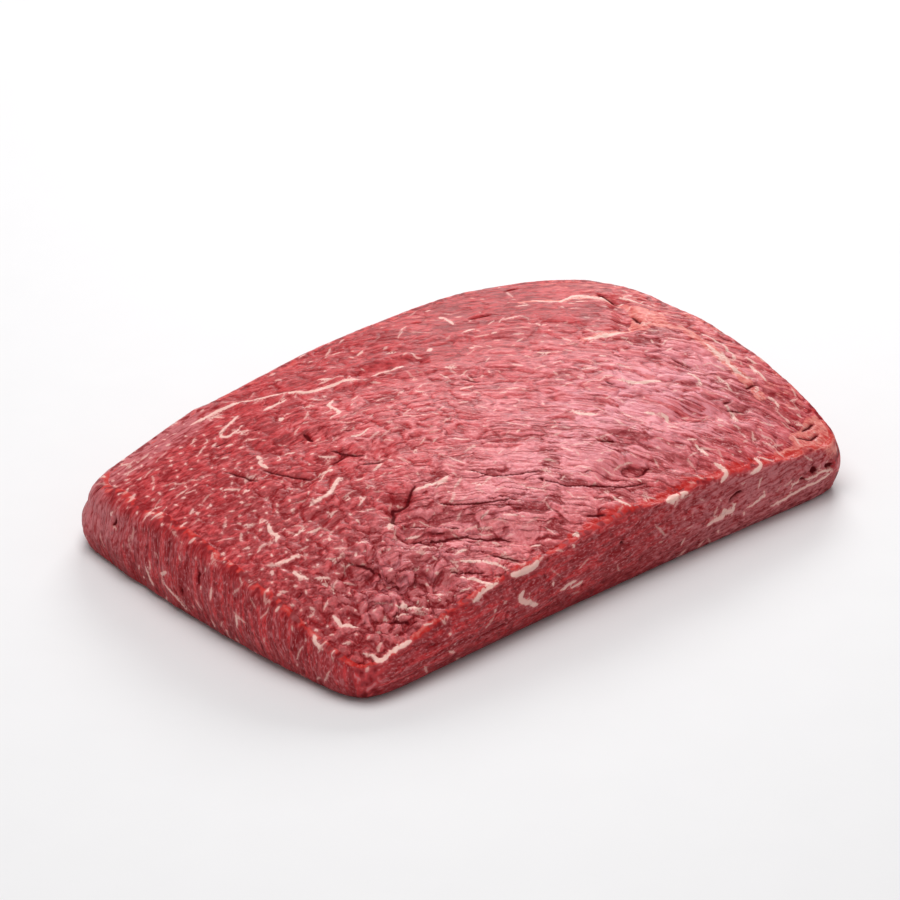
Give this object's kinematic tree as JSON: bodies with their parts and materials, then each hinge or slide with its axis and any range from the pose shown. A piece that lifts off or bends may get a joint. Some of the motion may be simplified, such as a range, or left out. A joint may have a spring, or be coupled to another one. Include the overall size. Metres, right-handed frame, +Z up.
{
  "type": "flat iron roast",
  "caption": "Whole raw beef roast: a flat, trimmed slab of muscle with fine marbling, thin at one end and thick and rounded at the other.",
  "frame": {"origin": "middle of the footprint, on the surface the roast lies on", "axes": "+X along the slab towards its thick end, +Y towards its high far side, +Z up"},
  "size_m": [0.2738, 0.1854, 0.0496],
  "materials": {
    "raw_beef": "moist cut meat, satin with wet highlights and pale marbling"
  },
  "bodies": {
    "root": {"roast": "raw_beef"}
  },
  "joints": []
}
